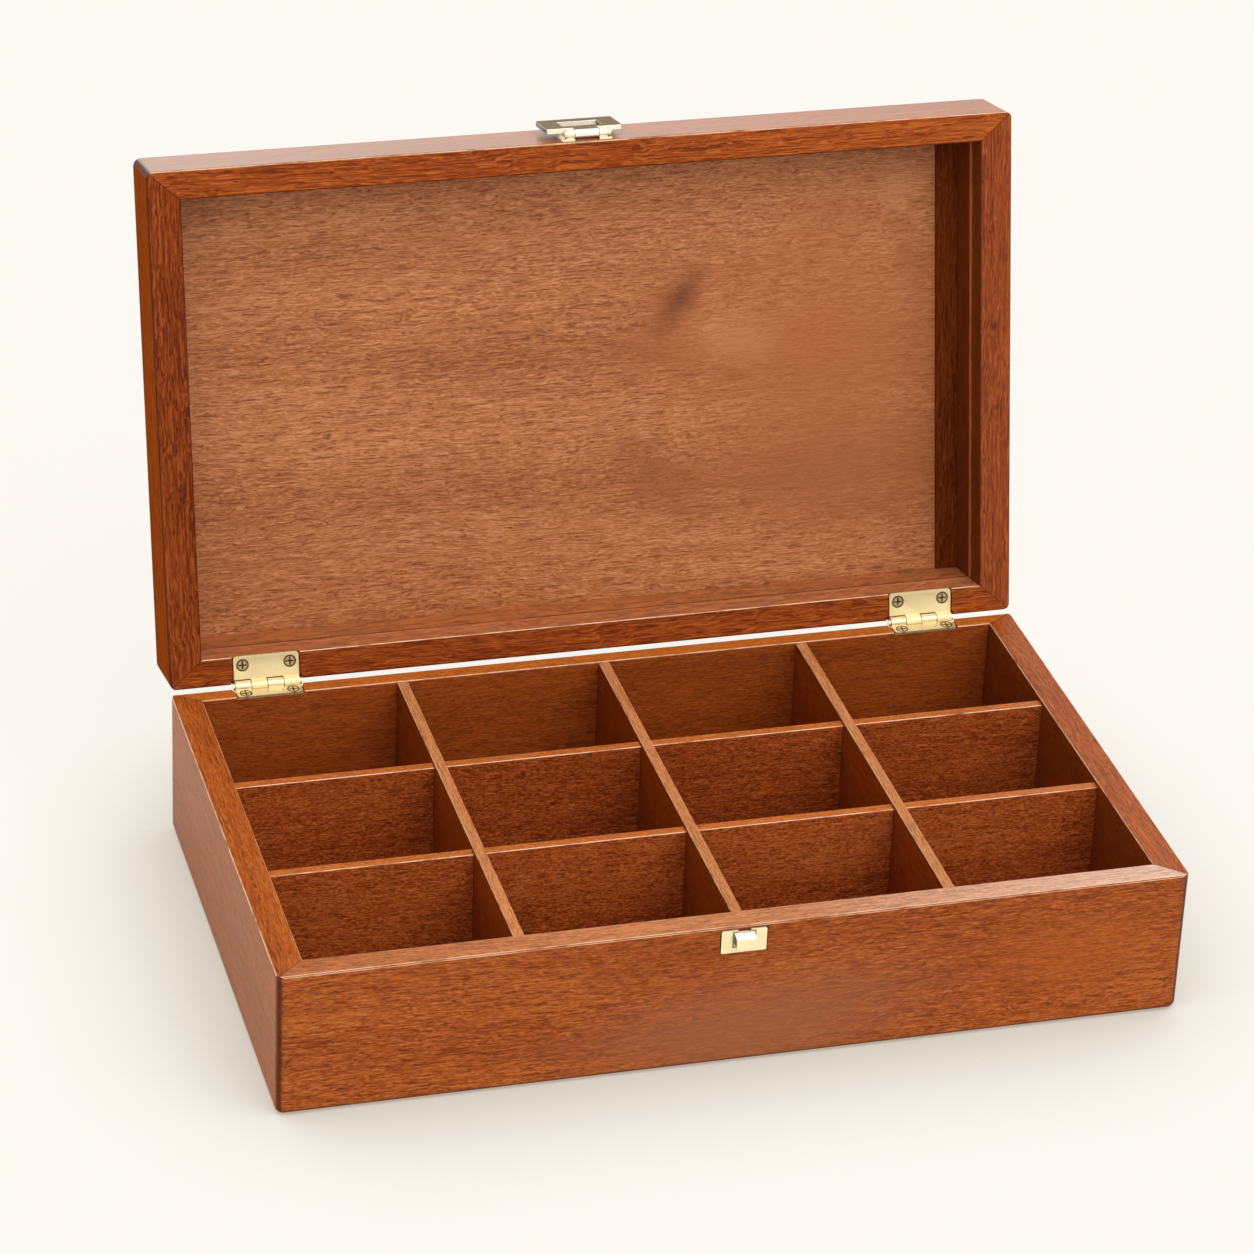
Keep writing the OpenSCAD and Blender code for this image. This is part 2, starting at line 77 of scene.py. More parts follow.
# the hinges' middles, their screws' offset from there, and the screws' places in Y
HINGE_X, SCREW_X = 0.1245, 0.0087
BASE_SCREW_Y, LID_SCREW_Y = 0.09085, 0.0878
# the free edges of the hinges' leaves, flush with the wood that they lie on
BASE_LEAF_Y, LID_LEAF_Y = BOX_D / 2 - BACK, BOX_D / 2 - RAIL
# the catch block, seen from the front
BLOCK_HALF_W, BLOCK_HALF_H, BLOCK_MID_Z = 0.0035, 0.0026, 0.0498


# ---------------------------------------------------------------- node helpers
class Tree:
    """Adds shader nodes to a material and wires them."""

    def __init__(self, name):
        self.mat = bpy.data.materials.new(name)
        self.mat.use_nodes = True
        self.nt = self.mat.node_tree
        self.nt.nodes.clear()

    @classmethod
    def of(cls, node_tree):
        """Works on a node tree that exists already."""
        t = cls.__new__(cls)
        t.nt = node_tree
        t.nt.nodes.clear()
        return t

    def add(self, kind, **props):
        n = self.nt.nodes.new(kind)
        for k, v in props.items():
            setattr(n, k, v)
        return n

    def put(self, socket, value):
        if isinstance(value, bpy.types.NodeSocket):
            self.nt.links.new(value, socket)
        else:
            socket.default_value = value

    def math(self, op, a, b=None, c=None):
        n = self.add("ShaderNodeMath", operation=op)
        for i, v in enumerate((a, b, c)):
            if v is not None:
                self.put(n.inputs[i], v)
        return n.outputs[0]

    def vmath(self, op, a, b=None):
        n = self.add("ShaderNodeVectorMath", operation=op)
        self.put(n.inputs[0], a)
        if b is not None:
            self.put(n.inputs[1], b)
        return n.outputs["Value"] if op in ("LENGTH", "DISTANCE", "DOT_PRODUCT") else n.outputs[0]

    def mapping(self, vec, loc=(0, 0, 0), rot=(0, 0, 0), scale=(1, 1, 1)):
        n = self.add("ShaderNodeMapping", vector_type="POINT")
        self.put(n.inputs["Vector"], vec)
        n.inputs["Location"].default_value = loc
        n.inputs["Rotation"].default_value = rot
        n.inputs["Scale"].default_value = scale
        return n.outputs[0]

    def noise(self, vec, scale=1.0, detail=2.0, rough=0.5):
        n = self.add("ShaderNodeTexNoise")
        self.put(n.inputs["Vector"], vec)
        n.inputs["Scale"].default_value = scale
        n.inputs["Detail"].default_value = detail
        n.inputs["Roughness"].default_value = rough
        return n.outputs["Fac"]

    def ramp(self, fac, stops):
        n = self.add("ShaderNodeValToRGB")
        cr = n.color_ramp
        while len(cr.elements) < len(stops):
            cr.elements.new(0.5)
        for e, (p, c) in zip(cr.elements, stops):
            e.position = p
            e.color = (*c, 1.0)
        self.put(n.inputs[0], fac)
        return n.outputs[0]

    def span(self, value, a, b, lo=0.0, hi=1.0, smooth=False):
        n = self.add("ShaderNodeMapRange", clamp=True,
                     interpolation_type="SMOOTHSTEP" if smooth else "LINEAR")
        self.put(n.inputs["Value"], value)
        for k, v in (("From Min", a), ("From Max", b), ("To Min", lo), ("To Max", hi)):
            n.inputs[k].default_value = v
        return n.outputs[0]

    def mix(self, fac, a, b):
        n = self.add("ShaderNodeMix", data_type="RGBA")
        self.put(n.inputs["Factor"], fac)
        self.put(n.inputs[6], a if not isinstance(a, tuple) else (*a, 1.0))
        self.put(n.inputs[7], b if not isinstance(b, tuple) else (*b, 1.0))
        return n.outputs[2]

    def xyz(self, vec):
        n = self.add("ShaderNodeSeparateXYZ")
        self.put(n.inputs[0], vec)
        return n.outputs

    def bump(self, height, strength, distance):
        n = self.add("ShaderNodeBump")
        n.inputs["Strength"].default_value = strength
        n.inputs["Distance"].default_value = distance
        self.put(n.inputs["Height"], height)
        return n.outputs[0]

    def finish(self, bsdf):
        out = self.add("ShaderNodeOutputMaterial")
        self.nt.links.new(bsdf.outputs[0], out.inputs[0])
        return self.mat


# ---------------------------------------------------------------- places and directions
def closed_frame(t, vec, on_lid):
    """The point's place on the closed box, for a piece of the open lid."""
    if not on_lid:
        return vec
    turn = Matrix.Rotation(OPEN, 3, "X")
    axis = Vector((0, AXIS_Y, AXIS_Z))
    return t.mapping(vec, loc=tuple(axis - turn @ axis), rot=(OPEN, 0, 0))


def closed_normal(t, normal, on_lid):
    """Where the surface looks on the closed box, for a piece of the open lid."""
    if not on_lid:
        return normal
    turn = t.add("ShaderNodeVectorRotate", rotation_type="X_AXIS")
    t.put(turn.inputs["Vector"], normal)
    turn.inputs["Angle"].default_value = OPEN
    return turn.outputs[0]


def face_normal(t, on_lid):
    """Where the flat facet looks on the closed box, whatever the shading's smoothness."""
    turn = t.add("ShaderNodeVectorTransform", vector_type="NORMAL",
                 convert_from="WORLD", convert_to="OBJECT")
    t.put(turn.inputs[0], t.add("ShaderNodeNewGeometry").outputs["True Normal"])
    return closed_normal(t, turn.outputs[0], on_lid)


def flatness(t, normal):
    """1 on a face that lies square to the box, less on a rounded edge."""
    n = t.xyz(t.vmath("ABSOLUTE", normal))
    return t.math("MAXIMUM", t.math("MAXIMUM", n[0], n[1]), n[2])


def looks_along(t, normal, axis, sign, start, full):
    """1 where the surface looks along that axis, and 0 where it has turned away from it."""
    return t.span(t.math("MULTIPLY", normal["XYZ".index(axis)], sign), start, full)


def across_box(t, x, left, right):
    """A value that goes from left to right over the box's width."""
    return t.span(x, -BOX_W / 2, BOX_W / 2, left, right)


# ---------------------------------------------------------------- wood
# where the dark, middle and light tone lie on the scale of the grain's lightness
GRAIN_STOPS = (0.05, 0.5, 0.95)
# a tint's own dark, middle and light, as shares of its colour
TINT_GRAIN = (0.68, 1.0, 1.28)
# cosines at which a smooth normal starts to look along an axis, and does so in full
FACE = (0.80, 0.97)
# the painted shade on a rounded edge, and how much less of it the double rim has
EDGE_SHADE, DOUBLE_UNSHADED = 0.85, 0.75
# half widths at which a mitre's hairline fades in and is full, and its strength
MITRE_LINE, MITRE_DARK = (0.00035, 0.00010), 0.5
GRAIN_DEPTH = 0.0003
# the varnish, and how far from head on it starts to mirror and does so in full
VARNISH_IOR, VARNISH_ROUGH = 2.9, 0.25
GLANCE = (0.45, 0.68)


def grain_noise(t, vec, along, across, **kw):
    """Noise with so many waves a metre along the grain and across it."""
    return t.noise(t.mapping(vec, scale=(along, across, across)), **kw)


def spot_mask(t, u, v, spot, raggedness):
    """1 in the middle of an oval spot (u, v, half length, half width, angle), 0 past its rim."""
    su, sv, half_l, half_w, angle = spot
    c, s = math.cos(math.radians(angle)), math.sin(math.radians(angle))
    du, dv = t.math("SUBTRACT", u, su), t.math("SUBTRACT", v, sv)
    a = t.math("ADD", t.math("MULTIPLY", du, c / half_l), t.math("MULTIPLY", dv, s / half_l))
    b = t.math("ADD", t.math("MULTIPLY", du, -s / half_w), t.math("MULTIPLY", dv, c / half_w))
    r = t.math("SQRT", t.math("ADD", t.math("MULTIPLY", a, a), t.math("MULTIPLY", b, b)))
    r = t.math("MULTIPLY_ADD", t.math("SUBTRACT", raggedness, 0.5), 0.9, r)
    return t.span(r, 1.15, 0.0, smooth=True)


def wood(name, along, seed, dark, mid, light, on_lid=False, mitres=(), rough=0.40,
         spots=(), spot_plane="XY", edge=0.8, contrast=1.0, gloss=0.16, figure=0.5, curl=1.0,
         tints=(), length=1.0, squash=1.0, double=False, varnish=None, matte=None, fleck=1.0):
    """Stained and lacquered hardwood with its grain along X or Y of the closed box.
    mitres lists (side of Y, side member's width, front or back member's width).
    spots lists (u, v, half length, half width, angle, colour, strength) on a plane of
    the closed box. tints lists (axis, sign, colour, strength at the left end, at the right)
    for the faces that look along that axis of the closed box, with a lowest and highest Z if
    they cover only part of it; most tints are painted light or painted shade on a top, a side or
    a ledge. length stretches the grain along the board and squash across its thickness. double
    draws two pale lines of painted highlight along the rim's edge, and edge is how strong the
    painted highlight on the rounded edges round the mouth that face up is. varnish is
    (axis, sign, strength at the left end, at the right) of the face that mirrors the
    backdrop when it is seen from a low angle, and matte (axis, sign) of the one that
    mirrors nothing. fleck is how strongly the pores show."""
    t = Tree(name)
    tc = t.add("ShaderNodeTexCoord")
    place = closed_frame(t, tc.outputs["Object"], on_lid)
    turn = (0, 0, 0) if along == "X" else (0, 0, math.pi / 2)
    grain = t.mapping(place, loc=seed, rot=turn, scale=(1, 1, squash))

    # the grain wavers: long bends and small curls
    bend = grain_noise(t, grain, 7, 22)
    curls = grain_noise(t, grain, 90, 170)
    shift = t.math("ADD", t.math("MULTIPLY", t.math("SUBTRACT", bend, 0.5), 0.016),
                   t.math("MULTIPLY", t.math("SUBTRACT", curls, 0.5), 0.0026 * curl))
    comb = t.add("ShaderNodeCombineXYZ")
    t.put(comb.inputs["Y"], shift)
    t.put(comb.inputs["Z"], shift)
    wavy = t.vmath("ADD", grain, comb.outputs[0])

    # from broad bands to single pores
    band = grain_noise(t, wavy, 3.5, 40, detail=3, rough=0.55)
    field = grain_noise(t, wavy, 1.6, 15, detail=1)
    rings = t.math("SINE", t.math("MULTIPLY", field, 95.0))
    streak = grain_noise(t, wavy, 48 / length, 700, rough=0.6)
    pores = grain_noise(t, wavy, 115 / length, 1650, rough=0.65)
    fine = grain_noise(t, wavy, 460 / length, 2500, detail=1)
    pits = t.span(pores, 0.47, 0.31)
    crests = t.span(pores, 0.53, 0.69)

    # how light the wood is: 0.5 gives its middle tone
    v = t.math("MULTIPLY_ADD", t.math("SUBTRACT", band, 0.5), 0.80, 0.5)
    v = t.math("MULTIPLY_ADD", rings, 0.05 * figure, v)
    v = t.math("MULTIPLY_ADD", t.math("SUBTRACT", streak, 0.5), 0.34 * contrast, v)
    v = t.math("MULTIPLY_ADD", t.math("SUBTRACT", fine, 0.5), 1.15 * contrast, v)
    v = t.math("MULTIPLY_ADD", pits, -0.55 * contrast * fleck, v)
    v = t.math("MULTIPLY_ADD", crests, 0.38 * contrast * fleck, v)
    color = t.ramp(v, list(zip(GRAIN_STOPS, (dark, mid, light))))

    x, y, z = (t.xyz(place)[i] for i in range(3))
    u, w = (x, y) if spot_plane == "XY" else (x, z)
    for *oval, tone, strength in spots:
        mask = spot_mask(t, u, w, oval, band)
        color = t.mix(t.math("MULTIPLY", mask, strength), color, tone)

    # painted highlights on the rounded edges round the mouth that face up, and painted shade darkens
    # the others
    normal = closed_normal(t, tc.outputs["Normal"], on_lid)
    signed = t.xyz(normal)
    for axis, sign, tone, left, right, *zone in tints:
        facing = looks_along(t, signed, axis, sign, *FACE)
        if zone:
            low, high = zone
            off = t.math("ABSOLUTE", t.math("SUBTRACT", z, (low + high) / 2))
            facing = t.math("MULTIPLY", facing, t.math("LESS_THAN", off, (high - low) / 2))
        amount = t.math("MULTIPLY", facing, across_box(t, x, left, right))
        grainy = [tuple(min(1.0, k * c) for c in tone) for k in TINT_GRAIN]
        color = t.mix(amount, color, t.ramp(v, list(zip(GRAIN_STOPS, grainy))))
    to_mouth = t.math("MULTIPLY", signed[2], -1.0 if on_lid else 1.0)
    flat = flatness(t, normal)
    rounded = t.span(flat, 0.985, 0.85, smooth=True)
    if double:
        ridge = t.math("MULTIPLY", t.span(flat, 0.985, 0.93), t.span(flat, 0.78, 0.84))
    else:
        ridge = t.span(flat, 0.93, 0.80, smooth=True)
    skyward = t.span(t.xyz(tc.outputs["Normal"])[2], 0.15, 0.40)
    rim = t.math("MULTIPLY", t.span(to_mouth, 0.2, 0.45, smooth=True), skyward)
    patchy = t.span(grain_noise(t, place, 120, 120, detail=3), 0.25, 0.55)
    # painted highlight: the rounded edges round the mouth that face up are made pale
    highlit = t.math("MULTIPLY", t.math("MULTIPLY", ridge, rim), t.math("MULTIPLY", patchy, edge))
    color = t.mix(highlit, color, EDGE_HIGHLIGHT)
    # painted shade on the rounded edges, little or none on those that face up round the mouth
    unshaded = DOUBLE_UNSHADED if double else EDGE_SHADE
    shaded_edge = t.math("MULTIPLY", rounded, t.math("MULTIPLY_ADD", rim, -unshaded, EDGE_SHADE))
    color = t.mix(shaded_edge, color, tuple(0.5 * c for c in dark))

    # a dark hairline where two members meet at the mitre
    for sy, side, end in mitres:
        near_x = t.math("SUBTRACT", BOX_W / 2, t.math("ABSOLUTE", x))
        near_y = t.math("SUBTRACT", BOX_D / 2, t.math("MULTIPLY", y, sy))
        k = math.hypot(side, end)
        d = t.math("ABSOLUTE", t.math("SUBTRACT", t.math("MULTIPLY", near_x, end / k),
                                      t.math("MULTIPLY", near_y, side / k)))
        line = t.math("MULTIPLY", t.span(d, *MITRE_LINE), MITRE_DARK)
        color = t.mix(line, color, tuple(0.25 * c for c in dark))

    b = t.add("ShaderNodeBsdfPrincipled")
    t.put(b.inputs["Base Color"], color)
    t.put(b.inputs["Roughness"],
          t.math("MULTIPLY_ADD", t.math("SUBTRACT", streak, 0.5), 0.22, rough))
    level = gloss
    if matte:
        facing = looks_along(t, signed, *matte, *FACE)
        level = t.math("MULTIPLY", t.span(facing, 0, 1, 1, 0), gloss)
    t.put(b.inputs["Specular IOR Level"], level)
    if varnish:
        axis, sign, left, right = varnish
        facing = looks_along(t, signed, axis, sign, *FACE)
        amount = t.math("MULTIPLY", facing, across_box(t, x, left, right))
        glancing = t.span(t.add("ShaderNodeLayerWeight").outputs["Facing"], *GLANCE)
        t.put(b.inputs["Coat Weight"], t.math("MULTIPLY", amount, glancing))
        b.inputs["Coat IOR"].default_value = VARNISH_IOR
        b.inputs["Coat Roughness"].default_value = VARNISH_ROUGH
    height = t.math("MULTIPLY_ADD", pores, 0.7, t.math("MULTIPLY", streak, 0.3))
    t.put(b.inputs["Normal"], t.bump(height, 0.5, GRAIN_DEPTH))
    return t.finish(b)


# tones of the woods, and the members (side of Y, widths) that meet at the mitres
CASE = dict(dark=(0.180, 0.032, 0.0045), mid=(0.365, 0.078, 0.0105), light=(0.540, 0.155, 0.0300))
WALL = dict(dark=(0.125, 0.023, 0.0040), mid=(0.310, 0.064, 0.0100), light=(0.500, 0.145, 0.0330))
PANEL = dict(dark=(0.230, 0.064, 0.0170), mid=(0.430, 0.146, 0.0470), light=(0.620, 0.265, 0.1120))
LID_WOOD = dict(dark=(0.105, 0.015, 0.0020), mid=(0.212, 0.036, 0.0045), light=(0.330, 0.078, 0.0130))
RIMS = ((-1, SIDE, FRONT), (1, SIDE, BACK))
LID = ((-1, STILE, RAIL), (1, STILE, RAIL))
KNOT = (0.085, 0.020, 0.006)
# colour of the painted highlight on the rounded edges round the mouth that face up
EDGE_HIGHLIGHT = (0.900, 0.600, 0.380)
RIM_SHEEN = (0.655, 0.285, 0.1320)
# painted light on the dividers' tops
DIVIDER_TOP_LIT = (0.580, 0.230, 0.0850)
# painted shade for the lid's right inner wall
INNER_SHADE = (0.150, 0.030, 0.0040)
# painted shade on the sides that face left, away from the light
SHADED = (0.240, 0.038, 0.0025)


def shade(tones, r, g=None, b=None):
    """The same wood, r times as light, or lighter by r, g and b in red, green and blue."""
    k = (r, r if g is None else g, r if b is None else b)
    return {name: tuple(f * c for f, c in zip(k, tone)) for name, tone in tones.items()}


def board(node, along, seed, tones, **kw):
    """Gives a wooden piece its own cut of the wood."""
    mat = wood("wood_" + node, along, seed, **tones, **kw)
    for s in nodes[node].material_slots:
        s.material = mat


# base_front: painted sheen on the rim's top, stronger and pinker towards the right, and a painted
# sheen in the broad spot at the middle of the front
board("base_front", "X", (0.31, 0.07, 0.02), shade(CASE, 0.88), mitres=RIMS, spot_plane="XZ",
      double=True, contrast=1.1, gloss=0.12,
      tints=(("Z", 1, RIM_SHEEN, 0.25, 0.95), ("Z", 1, (0.740, 0.470, 0.3500), -1.2, 1.0)), spots=(
          (0.005, 0.012, 0.075, 0.030, 6, (0.320, 0.108, 0.0480), 0.75),
          (-0.020, 0.042, 0.050, 0.016, 0, CASE["dark"], 0.25),
          (0.120, 0.028, 0.045, 0.020, 0, (0.400, 0.088, 0.0110), 0.45)))
# the back wall's top gets painted light
board("base_back", "X", (1.73, 0.41, 0.33), CASE, mitres=RIMS, contrast=1.5, fleck=0.6,
      tints=(("Y", -1, WALL["mid"], 0.8, 0.8), ("Z", 1, (0.500, 0.135, 0.0180), 0.8, 0.8)))
board("base_left", "Y", (2.17, 0.83, 0.57), CASE, mitres=RIMS, length=1.6, contrast=0.8, gloss=0.13,
      tints=(("X", -1, (0.355, 0.094, 0.0110), 0.8, 0.8),))
# the right wall's inner face, which looks left into the box, gets painted shade
board("base_right", "Y", (3.39, 0.21, 0.71), CASE, mitres=RIMS, length=1.6, contrast=0.8,
      tints=(("X", -1, (0.180, 0.032, 0.0025), 0.85, 0.85),))
board("base_bottom", "X", (4.11, 0.63, 0.17), WALL)
# the dividers get painted light on their tops and painted shade on their sides that face left
for i, n in enumerate(("divider_left", "divider_middle", "divider_right")):
    board(n, "Y", (5.3 + 1.7 * i, 0.37 * i, 0.9), WALL, gloss=0.10,
          tints=(("Z", 1, DIVIDER_TOP_LIT, 0.8, 0.9), ("X", -1, SHADED, 0.9, 0.9)))
# the cross dividers' tops get painted light
for i, n in enumerate(("cross_divider_front", "cross_divider_back")):
    board(n, "X", (9.1 + 2.3 * i, 0.53 * i, 0.4), shade(WALL, 1.14, 1.08), contrast=1.5, fleck=0.45,
          edge=1.0, length=0.65, tints=(("Z", 1, CASE["light"], 0.7, 0.7),))
# the lid's outer front face, which faces up with the lid open, is lightened: painted light
board("lid_front", "X", (12.1, 0.19, 0.6), shade(LID_WOOD, 1.44, 1.58, 1.5), on_lid=True,
      mitres=LID, contrast=1.2, length=3.0, gloss=0.09, varnish=("Y", -1, 0.92, 0.50),
      tints=(("Y", -1, (0.400, 0.100, 0.0080), 0.9, 0.9),))
# the rail's inner face gets painted light below and above the ledge, a painted shade hairline at the
# ledge, and a painted highlight on the ledge
board("lid_back", "X", (13.7, 0.77, 0.1), shade(LID_WOOD, 1.32, 1.40), on_lid=True, mitres=LID,
      contrast=1.2, length=3.0, squash=0.3, gloss=0.09, edge=1.0, tints=(
          ("Y", -1, (0.470, 0.165, 0.0620), 0.9, 0.9, 0.05, LEDGE_Z),
          ("Y", -1, PANEL["mid"], 0.9, 0.9, LEDGE_Z, 0.09),
          ("Y", -1, (0.140, 0.040, 0.0120), 0.7, 0.7, LEDGE_Z, LEDGE_Z + 0.0014),
          ("Z", -1, (0.470, 0.165, 0.0620), 0.9, 0.9, *LEDGE_LINE)))
board("lid_left", "Y", (15.3, 0.29, 0.8), LID_WOOD, on_lid=True, mitres=LID,
      contrast=1.3, length=3.0, gloss=0.08, matte=("X", -1),
      tints=(("X", -1, (0.270, 0.054, 0.0070), 0.9, 0.9),))
# the right wall's inner face gets painted shade, and its ledge a painted highlight
board("lid_right", "Y", (16.9, 0.91, 0.5), shade(LID_WOOD, 1.30, 1.50, 2.2), on_lid=True,
      mitres=LID, contrast=0.9, length=3.0, gloss=0.12, tints=(
          ("X", -1, INNER_SHADE, 0.9, 0.9),
          ("Z", -1, (0.450, 0.140, 0.0400), 0.8, 0.8, *LEDGE_LINE)),
      spots=((0.1535, -0.015, 0.0022, 0.0016, 90, KNOT, 0.9),
             (0.1545, 0.016, 0.0016, 0.0014, 90, KNOT, 0.8)))
board("lid_batten", "Y", (19.3, 0.47, 0.9), shade(LID_WOOD, 0.58), on_lid=True, gloss=0.04, length=2.0)
board("lid_panel", "X", (21.7, 0.35, 0.65), PANEL, on_lid=True, rough=0.45, gloss=0.25,
      figure=0.3, curl=1.4, length=1.2, spots=(
          (0.034, -0.020, 0.034, 0.015, -55, (0.330, 0.095, 0.0260), 0.55),
          (0.0405, -0.029, 0.017, 0.0075, -50, KNOT, 0.70),
          (0.100, -0.056, 0.030, 0.016, -20, (0.360, 0.105, 0.0300), 0.50),
          (0.128, -0.040, 0.030, 0.008, 80, (0.340, 0.110, 0.0360), 0.50),
          (0.028, 0.036, 0.034, 0.014, 50, (0.290, 0.088, 0.0280), 0.55),
          (0.100, 0.000, 0.080, 0.085, 0, (0.425, 0.126, 0.0340), 0.70),
          (0.092, 0.038, 0.060, 0.042, 0, (0.345, 0.108, 0.0340), 0.50),
          (0.060, -0.0135, 0.022, 0.012, 15, PANEL["light"], 0.35),
          (0.125, -0.064, 0.014, 0.012, -60, PANEL["light"], 0.45)))


# ---------------------------------------------------------------- brass
# cosines at which a flat facet starts to look along an axis, and does so in full
FACET = (0.85, 0.95)
# flatness at which a painted highlight on an edge starts and is full, and the highlight's colour
GLINT_FLATNESS, GLINT_COLOR = (0.97, 0.88), (0.99, 0.96, 0.88)
BRUSH_DEPTH = 0.00004
# radii between which the painted shade round a screw's head comes and goes
RING_COMES, RING_GOES = (0.0016, 0.0019), (0.0025, 0.0022)
# half widths and radii at which the painted shade in a screw's cross fades in and is full
CROSS_SIDE, CROSS_END = (0.00036, 0.00024), (0.0017, 0.0014)
# how dark the painted shade round the catch block is, how far from it the shade is full, and where it
# comes to an end
BLOCK_SHADE, BLOCK_FULL, BLOCK_END = 0.85, 0.00008, (0.0008, 0.0004)
# the shade at a hinge leaf's free edge, and how far it reaches
LEAF_SHADE, LEAF_REACH = 0.16, 0.007
# vertices nearer than this are one, and faces nearer than this many degrees are flat
WELD, FLAT_ANGLE = 0.000002, 1
# degrees from which an edge is bevelled, and from which it is shaded sharp
BEVEL_ANGLE, SHARP_ANGLE = 40, 20


def from_screws(t, place, screw_y):
    """Offset from the nearest hinge screw's axis on the closed box, and the distance."""
    x, y, _ = (t.xyz(place)[i] for i in range(3))
    from_hinge = t.math("ABSOLUTE", t.math("SUBTRACT", t.math("ABSOLUTE", x), HINGE_X))
    dx = t.math("SUBTRACT", from_hinge, SCREW_X)
    dy = t.math("SUBTRACT", y, screw_y)
    far = t.math("SQRT", t.math("ADD", t.math("MULTIPLY", dx, dx), t.math("MULTIPLY", dy, dy)))
    return dx, dy, far


def from_block(t, place):
    """Distance outside the catch block's outline, seen from the front; negative on it."""
    x, _, z = (t.xyz(place)[i] for i in range(3))
    dx = t.math("SUBTRACT", t.math("ABSOLUTE", x), BLOCK_HALF_W)
    dz = t.math("SUBTRACT", t.math("ABSOLUTE", t.math("SUBTRACT", z, BLOCK_MID_Z)), BLOCK_HALF_H)
    return t.math("MAXIMUM", dx, dz)


def brass(name, tint, rough, metallic, seed, on_lid=False, painted_shade=None, edge_glint=0.0, faces=(),
          graze=(1.0, 1.0, 1.0)):
    """Lacquered brass with faint brush lines and a little tarnish. The painted shade, a function of
    (t, place), gives where shade is painted into hollows and crevices, and the edge glint how bright a
    painted highlight on the edges is. faces lists (axis, sign, colour, how metallic) for the faces
    that look along that axis of the closed box; their colours are painted light or painted shade.
    graze tints what a face reflects when it is seen from a low angle."""
    t = Tree(name)
    tc = t.add("ShaderNodeTexCoord")
    place = closed_frame(t, tc.outputs["Object"], on_lid)
    vec = t.mapping(place, loc=seed)
    cloud = t.noise(vec, scale=110, detail=2)
    lines = t.noise(t.mapping(vec, scale=(260, 2600, 2600)), detail=2)
    tarnish = t.span(t.noise(vec, scale=300, detail=4, rough=0.65), 0.55, 0.80, smooth=True)
    color = t.ramp(cloud, [(0.3, tuple(0.93 * c for c in tint)),
                           (0.7, tuple(min(1.0, 1.04 * c) for c in tint))])
    color = t.mix(t.math("MULTIPLY", tarnish, 0.12), color, tuple(0.55 * c for c in tint))
    if painted_shade:
        color = t.mix(painted_shade(t, place), color, CREVICE_SHADE)
    normal = face_normal(t, on_lid)
    metal = metallic
    for axis, sign, tone, shine in faces:
        facing = looks_along(t, t.xyz(normal), axis, sign, *FACET)
        color = t.mix(facing, color, tone)
        metal = t.math("ADD", t.math("MULTIPLY", t.span(facing, 0, 1, 1, 0), metal),
                       t.math("MULTIPLY", facing, shine))
    # painted highlight on the bevelled edges
    if edge_glint:
        glint = t.span(flatness(t, normal), *GLINT_FLATNESS)
        color = t.mix(t.math("MULTIPLY", glint, edge_glint), color, GLINT_COLOR)
    b = t.add("ShaderNodeBsdfPrincipled")
    t.put(b.inputs["Base Color"], color)
    t.put(b.inputs["Metallic"], metal)
    b.inputs["Specular Tint"].default_value = (*graze, 1)
    r = t.math("MULTIPLY_ADD", t.math("SUBTRACT", lines, 0.5), 0.10, rough)
    t.put(b.inputs["Roughness"], t.math("MULTIPLY_ADD", tarnish, 0.10, r))
    t.put(b.inputs["Normal"], t.bump(lines, 0.10, BRUSH_DEPTH))
    return t.finish(b)


def soften(node, width):
    """Stands in for a brass piece with a copy whose sharp edges are bevelled."""
    cad = nodes[node]
    mesh = bpy.data.meshes.new(node + "_soft")
    bm = bmesh.new()
    bm.from_mesh(cad.data)
    bmesh.ops.remove_doubles(bm, verts=bm.verts, dist=WELD)
    bmesh.ops.dissolve_limit(bm, angle_limit=math.radians(FLAT_ANGLE),
                             verts=bm.verts, edges=bm.edges)
    bm.to_mesh(mesh)
    bm.free()
    if "custom_normal" in mesh.attributes:
        mesh.attributes.remove(mesh.attributes["custom_normal"])
    o = bpy.data.objects.new(node + "_soft", mesh)
    bpy.context.scene.collection.objects.link(o)
    bevel = o.modifiers.new("bevel", "BEVEL")
    bevel.width = width
    bevel.segments = 2
    bevel.limit_method = "ANGLE"
    bevel.angle_limit = math.radians(BEVEL_ANGLE)
    bevel.use_clamp_overlap = True
    bpy.context.view_layer.update()
    done = bpy.data.meshes.new_from_object(o.evaluated_get(bpy.context.evaluated_depsgraph_get()))
    o.modifiers.clear()
    o.data = done
    done.shade_smooth()
    done.set_sharp_from_angle(angle=math.radians(SHARP_ANGLE))
    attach(o, body_of(cad)[0])
    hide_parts(node)
    return o


def round_screws(t, place, screw_y):
    """Painted shade in a ring round each screw's head and in its cross."""
    dx, dy, far = from_screws(t, place, screw_y)
    ring = t.math("MULTIPLY", t.span(far, *RING_COMES), t.span(far, *RING_GOES))
    arm = t.math("MINIMUM", t.math("ABSOLUTE", dx), t.math("ABSOLUTE", dy))
    cross = t.math("MULTIPLY", t.span(arm, *CROSS_SIDE), t.span(far, *CROSS_END))
    return t.math("MAXIMUM", ring, cross)


def round_block(t, place):
    """Painted shade where the catch block stands on its plate."""
    d = from_block(t, place)
    comes = t.span(d, 0.0, BLOCK_FULL, 0.0, BLOCK_SHADE)
    return t.math("MULTIPLY", comes, t.span(d, *BLOCK_END))


def leaf_shade(screw_y, edge_y):
    """Painted shade at the screws, and a painted shade that fades from the leaf's free edge."""
    def painted_shade(t, place):
        fade = t.span(t.xyz(place)[1], edge_y, edge_y + LEAF_REACH, LEAF_SHADE, 0.0)
        return t.math("MAXIMUM", round_screws(t, place, screw_y), fade)
    return painted_shade


